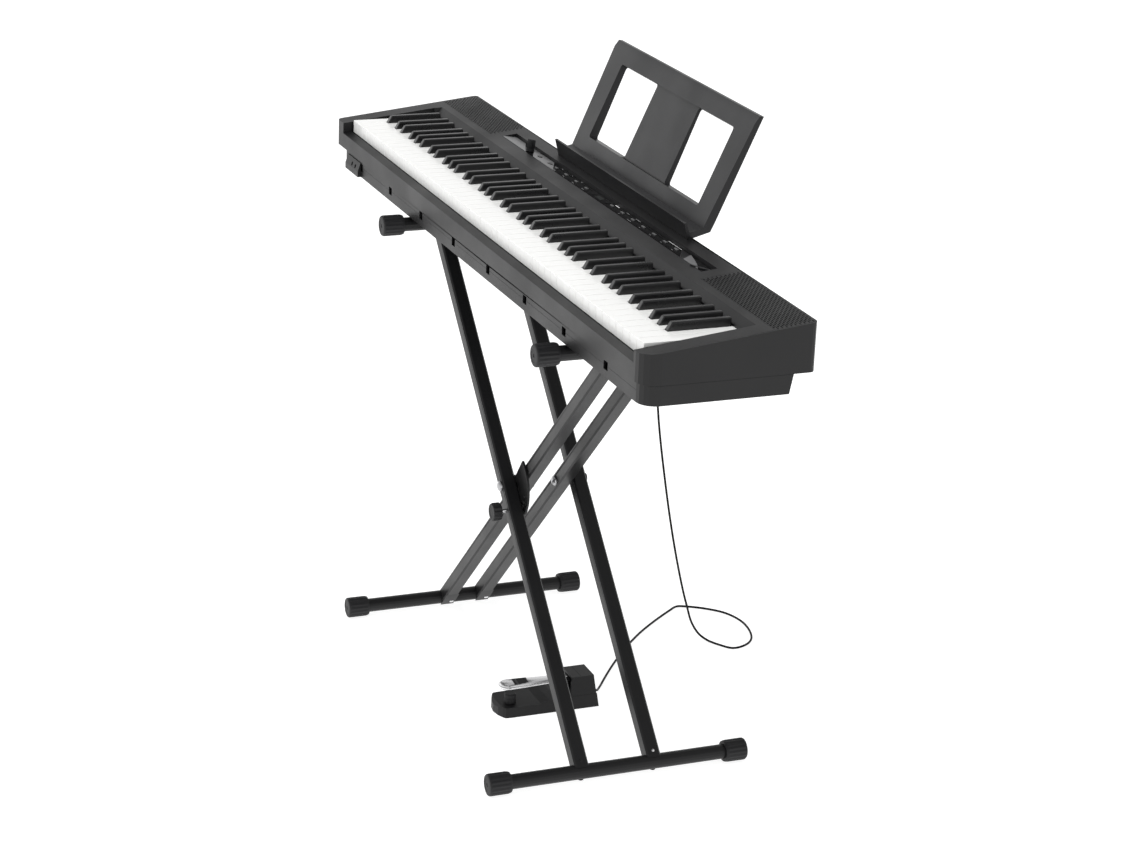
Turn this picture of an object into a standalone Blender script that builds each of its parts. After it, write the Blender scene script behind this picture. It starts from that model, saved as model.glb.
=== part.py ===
"""Digital piano on a folding crossed-leg stand, with its sustain pedal and the pedal's cord.

Every sub-part is one closed body with its own name and material.
All sizes below are in millimetres and are turned into metres when a body is made.
x runs along the keyboard from bass to treble, z is up from the floor.
y is measured back from the front edge of the white keys and shifted once, so that the
frame's origin lies on the floor under the middle of the stand.
"""
import bpy
import bmesh
import math
from mathutils import Vector

for old in list(bpy.data.objects):
    bpy.data.objects.remove(old, do_unlink=True)

# ---------------------------------------------------------------- driving sizes
Y_SHIFT = -112.0
GAP = 0.3
CASE_HALF = 648.7
CASE_FRONT = -16.0
CASE_BACK = 229.4
CASE_SEAM = 702.0
CASE_BOTTOM = 674.8
SKIN = 3.0
DECK_AT_KEYS = 744.9
DECK_SLOPE = 0.1118
BLOCK_INNER = 616.0
KEY_PITCH = 23.5
KEY_TOP = 748.6
KEY_DEEP = 20.0
SHARP_TOP = 760.0
NOTCH_FRONT = 49.0
KEY_VISIBLE = 142.0
KEY_AXIS_Y = 158.0
KEY_AXIS_Z = 738.0
RECESS_FRONT = 180.4
RECESS_BACK = 205.0
RECESS_DROP = 6.5
TUBE = 22.0
TUBE_WALL = 1.5
PIVOT_X = 36.9
PIVOT_Z = 337.25
LEG_REACH_X = 330.9
FOOT_Z = 16.2
ARM_Z = 658.2
A_FRONT = 32.1
A_REAR = 145.4
B_FRONT = 59.0
B_REAR = 119.8
HOLE_RADIUS = 41.0
CORD_RADIUS = 1.8
LEG_ANGLE = math.atan2(ARM_Z - PIVOT_Z, LEG_REACH_X)
BASS_X = PIVOT_X - LEG_REACH_X
TREBLE_X = PIVOT_X + LEG_REACH_X

# ---------------------------------------------------------------- materials


def material(name, colour, rough, metal=0.0):
    """One Principled material, named after the sub-part it belongs to."""
    mat = bpy.data.materials.new(name)
    mat.use_nodes = True
    shader = mat.node_tree.nodes["Principled BSDF"]
    shader.inputs["Base Color"].default_value = (colour[0], colour[1], colour[2], 1.0)
    shader.inputs["Roughness"].default_value = rough
    shader.inputs["Metallic"].default_value = metal
    return mat


BLACK = (0.055, 0.056, 0.058)
GREY = (0.11, 0.11, 0.112)
STAND = (0.045, 0.045, 0.047)
RUBBER = (0.03, 0.03, 0.031)
IVORY = (0.88, 0.88, 0.86)
STEEL = (0.78, 0.78, 0.79)
PALE = (0.55, 0.55, 0.55)
GREEN = (0.04, 0.16, 0.09)

# ---------------------------------------------------------------- building helpers


def metres(x, y, z):
    """Millimetres of the keyboard frame to metres of the part's frame."""
    return Vector((x / 1000.0, (y + Y_SHIFT) / 1000.0, z / 1000.0))


def finish_body(bm, name, look, origin=None):
    """Turn a bmesh in metres into one named object, with its origin where it turns or slides."""
    if bm.calc_volume(signed=True) < 0:
        bmesh.ops.reverse_faces(bm, faces=bm.faces)
    mesh = bpy.data.meshes.new(name)
    start = metres(*origin) if origin else Vector((0, 0, 0))
    for vert in bm.verts:
        vert.co = vert.co - start
    bm.to_mesh(mesh)
    bm.free()
    body = bpy.data.objects.new(name, mesh)
    body.location = start
    bpy.context.scene.collection.objects.link(body)
    body.data.materials.append(material(name, *look))
    return body


def cells(name, look, xs, ys, zs, filled, place=metres, origin=None, rounds=(), in_rows=False):
    """A closed body made of the filled boxes of a grid, with flat runs merged.

    filled is asked about the middle of each box. rounds lists vertical edges to round,
    as (x, y, radius, steps). in_rows merges boxes only along x, which keeps a plate with
    many holes in plain strips.
    """
    bm = bmesh.new()
    made = {}

    def corner(i, j, k):
        if (i, j, k) not in made:
            made[(i, j, k)] = bm.verts.new(place(xs[i], ys[j], zs[k]))
        return made[(i, j, k)]

    full = set()
    for i in range(len(xs) - 1):
        for j in range(len(ys) - 1):
            for k in range(len(zs) - 1):
                mid = ((xs[i] + xs[i + 1]) / 2, (ys[j] + ys[j + 1]) / 2, (zs[k] + zs[k + 1]) / 2)
                if filled(*mid):
                    full.add((i, j, k))
    sides = [
        ((-1, 0, 0), ((0, 0, 0), (0, 0, 1), (0, 1, 1), (0, 1, 0))),
        ((1, 0, 0), ((1, 0, 0), (1, 1, 0), (1, 1, 1), (1, 0, 1))),
        ((0, -1, 0), ((0, 0, 0), (1, 0, 0), (1, 0, 1), (0, 0, 1))),
        ((0, 1, 0), ((0, 1, 0), (0, 1, 1), (1, 1, 1), (1, 1, 0))),
        ((0, 0, -1), ((0, 0, 0), (0, 1, 0), (1, 1, 0), (1, 0, 0))),
        ((0, 0, 1), ((0, 0, 1), (1, 0, 1), (1, 1, 1), (0, 1, 1))),
    ]
    for (i, j, k) in sorted(full):
        for step, loop in sides:
            if (i + step[0], j + step[1], k + step[2]) not in full:
                bm.faces.new([corner(i + a, j + b, k + c) for a, b, c in loop])
    bm.normal_update()
    if in_rows:
        plain = []
        for edge in bm.edges:
            across = abs(edge.verts[0].co.x - edge.verts[1].co.x) < 1e-6
            if across and edge.calc_face_angle(1.0) < math.radians(0.3):
                plain.append(edge)
        bmesh.ops.dissolve_edges(bm, edges=plain, use_verts=False, use_face_split=False)
    else:
        bmesh.ops.dissolve_limit(
            bm, angle_limit=math.radians(0.3), use_dissolve_boundaries=False,
            verts=list(bm.verts), edges=list(bm.edges))
    for x, y, radius, steps in rounds:
        spot = metres(x, y, 0.0)
        chosen = []
        for edge in bm.edges:
            ends = [vert.co for vert in edge.verts]
            near = all(abs(e.x - spot.x) < 1e-5 and abs(e.y - spot.y) < 1e-5 for e in ends)
            if near and abs(ends[0].z - ends[1].z) > 1e-4:
                chosen.append(edge)
        bmesh.ops.bevel(
            bm, geom=chosen, offset=radius / 1000.0, segments=steps, profile=0.5,
            affect="EDGES", clamp_overlap=False)
    return finish_body(bm, name, look, origin)


def box(name, look, low, high, place=metres, origin=None):
    """A plain box between two opposite corners."""
    pairs = [[low[n], high[n]] for n in range(3)]
    return cells(name, look, pairs[0], pairs[1], pairs[2], lambda x, y, z: True, place, origin)


def prism(name, look, outline, low, high, place, origin=None):
    """A closed body: a flat outline (a, b) pushed from low to high; place takes (a, b, depth)."""
    bm = bmesh.new()
    near = [bm.verts.new(place(a, b, low)) for a, b in outline]
    far = [bm.verts.new(place(a, b, high)) for a, b in outline]
    bm.faces.new(near)
    bm.faces.new(list(reversed(far)))
    for n in range(len(outline)):
        m = (n + 1) % len(outline)
        bm.faces.new([near[m], near[n], far[n], far[m]])
    return finish_body(bm, name, look, origin)


def turned(name, look, profile, steps, place, origin=None, flat=None, offset=0.5):
    """A closed turned body: profile lists (radius, distance along the axis).

    place takes (across, up, along). flat cuts the round off level at that height below
    (or above, if positive) the axis.
    """
    bm = bmesh.new()
    rings = []
    for radius, along in profile:
        if radius < 1e-6:
            rings.append([bm.verts.new(place(0.0, 0.0, along))])
            continue
        ring = []
        for n in range(steps):
            turn = 2 * math.pi * (n + offset) / steps
            across = radius * math.cos(turn)
            up = radius * math.sin(turn)
            if flat is not None and flat < 0:
                up = max(up, flat)
            if flat is not None and flat > 0:
                up = min(up, flat)
            ring.append(bm.verts.new(place(across, up, along)))
        rings.append(ring)
    for one, two in zip(rings[:-1], rings[1:]):
        for n in range(steps):
            m = (n + 1) % steps
            if len(one) == 1:
                bm.faces.new([one[0], two[n], two[m]])
            elif len(two) == 1:
                bm.faces.new([one[n], two[0], one[m]])
            else:
                bm.faces.new([one[n], two[n], two[m], one[m]])
    for ring, end in ((rings[0], 0), (rings[-1], 1)):
        if len(ring) > 1:
            bm.faces.new(ring if end == 0 else list(reversed(ring)))
    return finish_body(bm, name, look, origin)


def combine(body, others, how):
    """Join or cut a body with helper bodies, and keep the plain result."""
    for other in others:
        step = body.modifiers.new("step", "BOOLEAN")
        step.operation = how
        step.solver = "EXACT"
        step.object = other
        bpy.context.view_layer.update()
        graph = bpy.context.evaluated_depsgraph_get()
        result = bpy.data.meshes.new_from_object(body.evaluated_get(graph))
        body.modifiers.clear()
        old = body.data
        result.name = body.name
        look = old.materials[0]
        body.data = result
        body.data.materials.clear()
        body.data.materials.append(look)
        bpy.data.meshes.remove(old)
        used = other.data
        bpy.data.objects.remove(other, do_unlink=True)
        bpy.data.meshes.remove(used)
    return body


def arc(cx, cy, radius, start, stop, steps):
    """Points of an arc, in degrees."""
    points = []
    for n in range(steps + 1):
        turn = math.radians(start + (stop - start) * n / steps)
        points.append((cx + radius * math.cos(turn), cy + radius * math.sin(turn)))
    return points


def deck(y):
    """Height of the sloping top of the case."""
    return DECK_AT_KEYS + DECK_SLOPE * y


def along_x(a, b, depth):
    """Outline in (y, z), pushed along x."""
    return metres(depth, a, b)


def along_y(a, b, depth):
    """Outline in (x, z), pushed along y."""
    return metres(a, depth, b)


def along_z(a, b, depth):
    """Outline in (x, y), pushed up z."""
    return metres(a, b, depth)


# ---------------------------------------------------------------- upper case
STRIP_Z = 752.0
RIM = 2.2
GRILLE_IN = 412.5
GRILLE_FRONT = 167.4


def case_place(x, y, z):
    """Heights above 710 are counted from the sloping deck: 900 is the deck itself."""
    if z < 720:
        return metres(x, y, z)
    top = deck(y)
    if abs(y - KEY_VISIBLE) < 0.01 and abs(x) < 612:
        top = STRIP_Z
    if y < 0 and abs(x) < BLOCK_INNER + 0.1 and z < 890:
        return metres(x, y, {-2.0: 729.0, -16.0: 726.0}[y])
    return metres(x, y, top - (900 - z))


def case_filled(x, y, z):
    """Where the upper case has material."""
    ax = abs(x)
    wall = ax > CASE_HALF - SKIN or y > CASE_BACK - SKIN
    if y < -2 and ax < BLOCK_INNER:
        return z < 885
    if y < KEY_VISIBLE and ax < BLOCK_INNER:
        return False
    if ax < BLOCK_INNER + SKIN and y < KEY_VISIBLE:
        return True
    if ax > BLOCK_INNER and y < 14:
        return True
    if wall:
        if z > 898.5 and ax > GRILLE_IN and ax < CASE_HALF - RIM:
            return not (GRILLE_FRONT < y < CASE_BACK - RIM)
        return True
    if z > 897:
        if -392.6 < x < 385.5 and RECESS_FRONT < y < RECESS_BACK:
            return False
        if z > 898.5 and GRILLE_IN < ax and GRILLE_FRONT < y < CASE_BACK - RIM:
            return False
        if z < 898.5 and 475 < ax < 585 and 176 < y < 221:
            return False
        return True
    if z < 705:
        if y > 200:
            return True
        if x < -606:
            return True
    return False


case_x = [CASE_HALF, CASE_HALF - RIM, CASE_HALF - SKIN, BLOCK_INNER + SKIN, BLOCK_INNER, 611.0, 585, 475, 412.5]
case_xs = sorted([-v for v in case_x] + [-606.0, -392.6, 385.5] + case_x)
case_ys = [-16.0, -2.0, 14.0, 142.0, 155.0, 167.4, 176.0, 180.4, 200.0, 205.0, 221.0,
           CASE_BACK - SKIN, CASE_BACK - RIM, CASE_BACK]
case_zs = [702.0, 705.0, 880.0, 897.0, 898.5, 900.0]


def case_filled_low(x, y, z):
    """The key slip stands only to the 880 level, the rest of the case to the deck."""
    if y < -2 and abs(x) < BLOCK_INNER:
        return z < 880
    return case_filled(x, y, z)


top_case = cells(
    "top_case", (BLACK, 0.45), case_xs, case_ys, case_zs, case_filled_low, case_place,
    rounds=((-CASE_HALF, -16.0, 8.0, 3), (CASE_HALF, -16.0, 26.0, 5),
            (-CASE_HALF, CASE_BACK, 8.0, 3), (CASE_HALF, CASE_BACK, 8.0, 3)))

REST_T = Vector((0.0, 0.4106, 0.9118))
REST_N = Vector((0.0, -0.9118, 0.4106))


def rest_place(x, t, n):
    """x, distance up the rest's plane, distance out of its front; from the plate's foot."""
    y = 243.0 + REST_T.y * t + REST_N.y * n
    z = 783.9 + REST_T.z * t + REST_N.z * n
    return metres(x, y, z)


def tab_place(x, t, n):
    """The same directions, from the middle of the rest's two tabs."""
    return metres(x, 224.2 + REST_T.y * t + REST_N.y * n, 772.0 + REST_T.z * t + REST_N.z * n)


slot_cutters = []
for side in (-1, 1):
    low = (min(side * 142.0, side * 158.0), -9.0, -2.6)
    high = (max(side * 142.0, side * 158.0), 4.0, 2.6)
    slot_cutters.append(box("slot_cutter", (BLACK, 0.5), low, high, tab_place))
socket_cutter = turned(
    "socket_cutter", (BLACK, 0.5), [(5.6, 222.0), (5.6, 235.0)], 16,
    lambda a, b, s: metres(-50 + a, s, 735 + b))
combine(top_case, slot_cutters + [socket_cutter], "DIFFERENCE")

# ---------------------------------------------------------------- lower case
LOW_LEFT = -603.0
LOW_FRONT = -14.0
LOW_BACK = 198.0
LOW_TOP = CASE_SEAM - GAP
slot_edges = []
for centre in (74.6, 223.9, 373.1, 522.3):
    slot_edges += [centre - 7.0, centre + 7.0, -centre - 7.0, -centre + 7.0]


def lower_filled(x, y, z):
    """Tray: floor, four walls, solid front corners, eight slots in the front wall."""
    if z < CASE_BOTTOM + SKIN:
        return True
    if y < LOW_FRONT + SKIN and 685.0 < z < 697.0:
        for centre in (74.6, 223.9, 373.1, 522.3):
            if abs(abs(x) - centre) < 7.0:
                return False
    if x > 618 and y < 14:
        return True
    if y < LOW_FRONT + SKIN or y > LOW_BACK - SKIN:
        return True
    return x < LOW_LEFT + SKIN or x > CASE_HALF - SKIN


def low_place(x, y, z):
    """The rear wall of the lower case leans in towards the floor."""
    return metres(x, y - (0.19 * (LOW_TOP - z) if y > 150.0 else 0.0), z)


lower_case = cells(
    "lower_case", (BLACK, 0.5),
    sorted([LOW_LEFT, LOW_LEFT + SKIN, 618.0, CASE_HALF - SKIN, CASE_HALF] + slot_edges),
    [LOW_FRONT, LOW_FRONT + SKIN, 14.0, LOW_BACK - SKIN, LOW_BACK],
    [CASE_BOTTOM, CASE_BOTTOM + SKIN, 685.0, 697.0, LOW_TOP], lower_filled, low_place,
    rounds=((CASE_HALF, LOW_FRONT, 24.0, 5),))

# ---------------------------------------------------------------- key bed and keys
cells("key_bed", (GREY, 0.6), [-605.5, 612.0], [2.0, 20.0, 40.0, 150.0, 172.0],
      [704.0, 707.0, 715.0, 726.0],
      lambda x, y, z: z < 707 or (z < 715 and 20 < y < 40) or 150 < y < 172)

KEY_EDGE = 0.5
SHARP_HALF = 5.4
SHARP_CLEAR = 1.1


def sharps_between(first, last):
    """Sharp keys whose boundary lies inside white keys first..last, as (middle x)."""
    found = []
    for boundary in range(first + 1, last + 1):
        place_in_octave = (boundary - 3) % 7
        shift = {0: -2.35, 1: 2.35, 3: -3.36, 4: 0.0, 5: 3.36}.get(place_in_octave)
        if boundary == 1:
            shift = 3.36
        if shift is not None:
            found.append(-611.0 + KEY_PITCH * boundary + shift)
    return found


ALL_SHARPS = sharps_between(0, 51)
GROUPS = [(0, 8), (9, 15), (16, 22), (23, 29), (30, 36), (37, 43), (44, 51)]


def naturals(name, first, last):
    """White keys first..last, cut back beside the sharps and tied at the rear."""
    points = []
    for key in range(first, last + 1):
        left = -611.0 + KEY_PITCH * key + KEY_EDGE
        right = left + KEY_PITCH - 2 * KEY_EDGE
        left_in = left
        right_in = right
        for middle in ALL_SHARPS:
            if middle - SHARP_HALF - SHARP_CLEAR < left < middle + SHARP_HALF + SHARP_CLEAR:
                left_in = middle + SHARP_HALF + SHARP_CLEAR
            if middle - SHARP_HALF - SHARP_CLEAR < right < middle + SHARP_HALF + SHARP_CLEAR:
                right_in = middle - SHARP_HALF - SHARP_CLEAR
        start = [(left_in, 146.0)]
        if left_in > left:
            start += [(left_in, NOTCH_FRONT), (left, NOTCH_FRONT)]
        end = [(right, 0.0)]
        if right_in < right:
            end += [(right, NOTCH_FRONT), (right_in, NOTCH_FRONT)]
        points += start + [(left, 0.0)] + end + [(right_in, 146.0)]
    rear = [(points[-1][0], 163.0), (points[0][0], 163.0)]
    body = prism(name, (IVORY, 0.25), points + rear, KEY_TOP - 10.6, KEY_TOP, along_z,
                 origin=((points[0][0] + points[-1][0]) / 2, KEY_AXIS_Y, KEY_AXIS_Z))
    lips = []
    for key in range(first, last + 1):
        left = -611.0 + KEY_PITCH * key + KEY_EDGE
        lips.append(box("lip", (IVORY, 0.25), (left + 0.1, 0.1, KEY_TOP - KEY_DEEP),
                        (left + KEY_PITCH - 2 * KEY_EDGE - 0.1, 44.0, KEY_TOP - 5.0)))
    return combine(body, lips, "UNION")


def sharps(name, first, last, ends):
    """Black keys over white keys first..last, tied by a bar that runs under the white keys."""
    middles = sharps_between(first, last)
    bar = box(name, (BLACK, 0.3), (middles[0] - SHARP_HALF, 147.0, 728.6),
              (middles[-1] + SHARP_HALF, 163.0, 736.4),
              origin=((middles[0] + middles[-1]) / 2, KEY_AXIS_Y, KEY_AXIS_Z))
    keys = []
    for middle in middles:
        bm = bmesh.new()
        rings = []
        for z, half, front in ((729.0, SHARP_HALF, 50.0), (KEY_TOP, SHARP_HALF, 50.0),
                               (SHARP_TOP, 4.0, 56.0)):
            back = 141.4
            rings.append([bm.verts.new(metres(middle + a, b, z)) for a, b in
                          ((-half, front), (half, front), (half, back), (-half, back))])
        for one, two in zip(rings[:-1], rings[1:]):
            for n in range(4):
                m = (n + 1) % 4
                bm.faces.new([one[n], one[m], two[m], two[n]])
        bm.faces.new(list(reversed(rings[0])))
        bm.faces.new(rings[-1])
        keys.append(finish_body(bm, "sharp", (BLACK, 0.3)))
        keys.append(box("stem", (BLACK, 0.3), (middle - 4.0, 136.0, 729.6), (middle + 4.0, 150.0, 735.9)))
    return combine(bar, keys, "UNION")


for number, (first, last) in enumerate(GROUPS):
    naturals("natural_keys_" + str(number + 1), first, last)
    sharps("sharp_keys_" + str(number + 1), first if number == 0 else first, last, ends=None)

# ---------------------------------------------------------------- control panel
FLOOR_SLOPE = DECK_SLOPE - RECESS_DROP / (RECESS_BACK - RECESS_FRONT)
FLOOR_TURN = math.atan(FLOOR_SLOPE)


def floor_place(x, s, n):
    """x, distance back along the recess's floor, distance out of it."""
    y = RECESS_FRONT + s * math.cos(FLOOR_TURN) - n * math.sin(FLOOR_TURN)
    z = deck(RECESS_FRONT) + s * math.sin(FLOOR_TURN) + n * math.cos(FLOOR_TURN)
    return metres(x, y, z)


KNOB_X = -296.0
KNOB_S = 10.4
RECESS_LEFT = -392.6
RECESS_RIGHT = 385.5
LEFT_BANK = [-191.0, -150.0, -109.0, -68.0]
RIGHT_BANK = [34.0 + 39.2 * n for n in range(7)]
control_panel = cells(
    "control_panel", (BLACK, 0.2),
    [RECESS_LEFT + GAP, KNOB_X - 4.0, KNOB_X + 4.0, -266.0, -252.0, -222.0, -208.0, -202.0,
     -54.0, -30.0, 10.0, 21.0, 283.0, RECESS_RIGHT - GAP],
    [0.5, KNOB_S - 4.0, 7.0, 9.5, KNOB_S + 4.0, 16.6, 19.5, 24.4], [-2.5, -0.1],
    lambda x, s, n: not (
        (7.0 < s < 19.5 and (-202 < x < -54 or 21 < x < 283 or -30 < x < 10))
        or (9.5 < s < 16.6 and (-266 < x < -252 or -222 < x < -208))
        or (abs(s - KNOB_S) < 4.0 and abs(x - KNOB_X) < 4.0)), floor_place)

box("lcd_display", ((0.32, 0.36, 0.34), 0.15), (-30 + GAP, 7.0 + GAP, -3.5), (10 - GAP, 19.5 - GAP, -0.3),
    floor_place)


def bank(name, left, right, middles):
    """A row of push buttons on one carrier that moves into the panel."""
    xs = [left + GAP, right - GAP]
    for middle in middles:
        xs += [middle - 5.5, middle + 5.5]
    return cells(name, (PALE, 0.4), sorted(xs), [7.0 + GAP, 12.4, 16.8, 19.5 - GAP], [-3.0, -0.6, 0.9],
                 lambda x, s, n: n < -0.6 or (12.4 < s < 16.8 and any(abs(x - c) < 5.5 for c in middles)),
                 floor_place, origin=((left + right) / 2, 192.0, deck(192.0) - 3.0))


bank("button_bank_left", -202.0, -54.0, LEFT_BANK)
bank("button_bank_right", 21.0, 283.0, RIGHT_BANK)
for name, middle in (("power_button", -259.0), ("function_button", -215.0)):
    oval = []
    for n in range(12):
        turn = 2 * math.pi * n / 12
        oval.append((middle + 6.4 * math.cos(turn), 13.05 + 3.2 * math.sin(turn)))
    prism(name, (BLACK, 0.3), oval, -3.0, 1.4, floor_place,
          origin=(middle, RECESS_FRONT + 13.0, deck(RECESS_FRONT) - 2.0))


def knob_place(a, b, s):
    """Turned about the recess floor's normal, on the volume knob's middle."""
    return floor_place(KNOB_X + a, KNOB_S + b, s)


turned("volume_knob", (BLACK, 0.35), [(3.2, -4.0), (3.2, 0.4), (6.8, 0.4), (6.8, 18.6), (5.8, 19.6)],
       18, knob_place, origin=(KNOB_X, RECESS_FRONT + KNOB_S, deck(RECESS_FRONT) - 2.0))

# ---------------------------------------------------------------- grilles and speakers


SLOT_PITCH = 18.1
SLOT_HALF = 6.6
ROW_PITCH = 6.4
ROW_HALF = 1.5
ROWS = 8
SLOTS = 12


def grille(name, side):
    """A thin plate let into the deck over one speaker, with staggered rows of long slots."""
    first_x = GRILLE_IN + 13.0
    first_y = GRILLE_FRONT + 8.0
    xs = {GRILLE_IN + GAP, CASE_HALF - RIM - GAP}
    ys = {GRILLE_FRONT + GAP, CASE_BACK - RIM - GAP}
    slots = []
    for row in range(ROWS):
        y = first_y + ROW_PITCH * row
        ys |= {y - ROW_HALF, y + ROW_HALF}
        for n in range(SLOTS):
            x = first_x + SLOT_PITCH * (n + 0.5 * (row % 2))
            xs |= {x - SLOT_HALF, x + SLOT_HALF}
            slots.append((x, y))

    def open_here(x, y):
        return any(abs(abs(x) - a) < SLOT_HALF and abs(y - b) < ROW_HALF for a, b in slots)

    return cells(name, (BLACK, 0.5), sorted(side * x for x in xs), sorted(ys), [898.8, 900.0],
                 lambda x, y, z: not open_here(x, y),
                 lambda x, y, z: metres(x, y, deck(y) - (900 - z)), in_rows=True)


def speaker(name, middle):
    """An oval speaker hung under its grille."""
    top = deck(198.5) - 3.3 - DECK_SLOPE * 27

    def oval(a, b, s):
        return metres(middle + a * 2.15, 198.5 + b * 0.92, top + s)

    return turned(name, (GREY, 0.6),
                  [(10.0, -24.0), (10.0, -14.0), (24.0, -12.0), (28.0, -2.0), (28.0, 0.0),
                   (25.0, 0.0), (9.0, -8.0), (0.0, -5.5)], 20, oval)


grille("grille_left", -1)
grille("grille_right", 1)
speaker("speaker_left", -530.0)
speaker("speaker_right", 530.0)

# ---------------------------------------------------------------- boards and jacks
box("main_board", (GREEN, 0.5), (-180.0, 40.0, 678.1), (180.0, 140.0, 679.7))
JACKS_X = (-559.0, -542.0)
turned("pedal_jack", (BLACK, 0.5),
       [(7.5, 205.0), (7.5, 226.0), (5.2, 226.0), (5.2, 231.0), (3.5, 231.0), (3.5, 209.0)], 16,
       lambda a, b, s: metres(-50 + a, s, 735 + b))
jack_box = prism("headphone_jacks", (BLACK, 0.45),
                 [(LOW_FRONT - GAP, 674.9), (LOW_FRONT - GAP, 698.0), (-15.4, 698.0),
                  (-20.0, 684.0), (-20.0, 674.9)],
                 -590.0, -524.0, along_x)
holes = []
for x in JACKS_X:
    holes.append(turned("hole", (BLACK, 0.5), [(3.3, -24.0), (3.3, -14.9)], 12,
                        lambda a, b, s, x=x: metres(x + a, s, 689.0 + b)))
combine(jack_box, holes, "DIFFERENCE")

# ---------------------------------------------------------------- music rest
rest_profile = [
    (214.0, 793.6), (219.7, deck(219.7) + GAP), (CASE_BACK, deck(CASE_BACK) + GAP), (255.3, 778.0),
    (262.0, 793.0), (324.2, 944.0), (318.3, 944.9), (311.4, 935.8), (243.0, 783.9),
    (223.0, 779.4), (217.6, 793.9)]
music_rest = prism("music_rest", (GREY, 0.4), rest_profile, -248.5, 248.5, along_x,
                   origin=(0.0, 224.2, 772.0))
for vert in music_rest.data.vertices:
    part_up = max(0.0, (vert.co.z * 1000.0 - 12.0) / 160.0)
    vert.co.x *= 1.0 + 0.036 * min(1.0, part_up)
windows = []
for low_x, high_x in ((-206.0, -75.0), (75.0, 206.0)):
    windows.append(box("window", (GREY, 0.5), (low_x, 26.0, -40.0), (high_x, 145.5, 20.0), rest_place))
windows.append(box("panel_recess", (GREY, 0.5), (-76.0, 26.0, -5.0), (76.0, 145.5, 20.0), rest_place))
combine(music_rest, windows, "DIFFERENCE")
tabs = []
for side in (-1, 1):
    low = (side * 150.0 - 7.0, -8.0, -2.0)
    high = (side * 150.0 + 7.0, 6.0, 2.0)
    tabs.append(box("tab", (GREY, 0.5), low, high, tab_place))
combine(music_rest, tabs, "UNION")

# ---------------------------------------------------------------- stand


def leg(name, lean, front, foot_x, arm_x, origin=None, holes=()):
    """A square tube from its foot tube up to its arm tube, saddled on both.

    lean is +1 for a leg whose top is on the treble side.
    """
    turn = LEG_ANGLE if lean > 0 else math.pi - LEG_ANGLE
    half = TUBE / 2
    reach = math.hypot(LEG_REACH_X, ARM_Z - PIVOT_Z)

    def leg_place(a, b, s):
        x = PIVOT_X + s * math.cos(turn) - a * math.sin(turn)
        z = PIVOT_Z + s * math.sin(turn) + a * math.cos(turn)
        return metres(x, front + half + b, z)

    ring = []
    for cx, cy, start in ((8.7, 8.7, 0), (-8.7, 8.7, 90), (-8.7, -8.7, 180), (8.7, -8.7, 270)):
        ring += arc(cx, cy, 2.3, start, start + 90, 1)
    body = prism(name, (STAND, 0.45), ring, -reach + 1.0, reach - 1.0, leg_place, origin)
    inner = half - TUBE_WALL
    cutters = [box("bore", (STAND, 0.5), (-inner, -inner, -reach - 20), (inner, inner, reach + 20), leg_place)]
    for x, z in ((foot_x, FOOT_Z), (arm_x, ARM_Z)):
        cutters.append(turned("saddle", (STAND, 0.5), [(11.35, -5.0 + front), (11.35, front + 27.0)], 16,
                              lambda a, b, s, x=x, z=z: metres(x + a, s, z + b)))
    for distance, radius in holes:
        x = PIVOT_X - distance * math.cos(turn)
        z = PIVOT_Z - distance * math.sin(turn)
        cutters.append(turned("hole", (STAND, 0.5), [(radius, -5.0 + front), (radius, front + 27.0)], 10,
                              lambda a, b, s, x=x, z=z: metres(x + a, s, z + b)))
    return combine(body, cutters, "DIFFERENCE")


PIVOT = (PIVOT_X, 93.0, PIVOT_Z)
leg("a_tube_front", -1, A_FRONT, TREBLE_X, BASS_X, holes=((0.0, 4.4), (HOLE_RADIUS, 3.4)))
leg("a_tube_rear", -1, A_REAR, TREBLE_X, BASS_X, holes=((0.0, 4.4),))
leg("b_tube_front", 1, B_FRONT, BASS_X, TREBLE_X, PIVOT, holes=((0.0, 4.4),))
leg("b_tube_rear", 1, B_REAR, BASS_X, TREBLE_X, PIVOT, holes=((0.0, 4.4),))


def cross_tube(name, x, z, front, back, origin=None):
    """A round tube along y, open at both ends."""
    outer = TUBE / 2
    inner = outer - TUBE_WALL
    return turned_ring(name, (STAND, 0.4), outer, inner, front, back, 18, x, z, origin)


def turned_ring(name, look, outer, inner, front, back, steps, x, z, origin):
    """A straight pipe along y."""
    bm = bmesh.new()
    rings = []
    for radius, along in ((outer, front), (outer, back), (inner, back), (inner, front)):
        ring = []
        for n in range(steps):
            turn = 2 * math.pi * (n + 0.5) / steps
            ring.append(bm.verts.new(metres(x + radius * math.cos(turn), along, z + radius * math.sin(turn))))
        rings.append(ring)
    for one, two in zip(rings, rings[1:] + rings[:1]):
        for n in range(steps):
            m = (n + 1) % steps
            bm.faces.new([one[n], two[n], two[m], one[m]])
    return finish_body(bm, name, look, origin)


FOOT_ENDS = (-101.5, 303.2)
ARM_ENDS = (-54.5, 252.5)
CAP_LONG = 34.5
cross_tube("treble_foot", TREBLE_X, FOOT_Z, FOOT_ENDS[0] + 6, FOOT_ENDS[1] - 6)
cross_tube("bass_foot", BASS_X, FOOT_Z, FOOT_ENDS[0] + 6, FOOT_ENDS[1] - 6, PIVOT)
cross_tube("bass_arm", BASS_X, ARM_Z, ARM_ENDS[0] + 6, ARM_ENDS[1] - 6)
cross_tube("treble_arm", TREBLE_X, ARM_Z, ARM_ENDS[0] + 6, ARM_ENDS[1] - 6, PIVOT)


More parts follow.
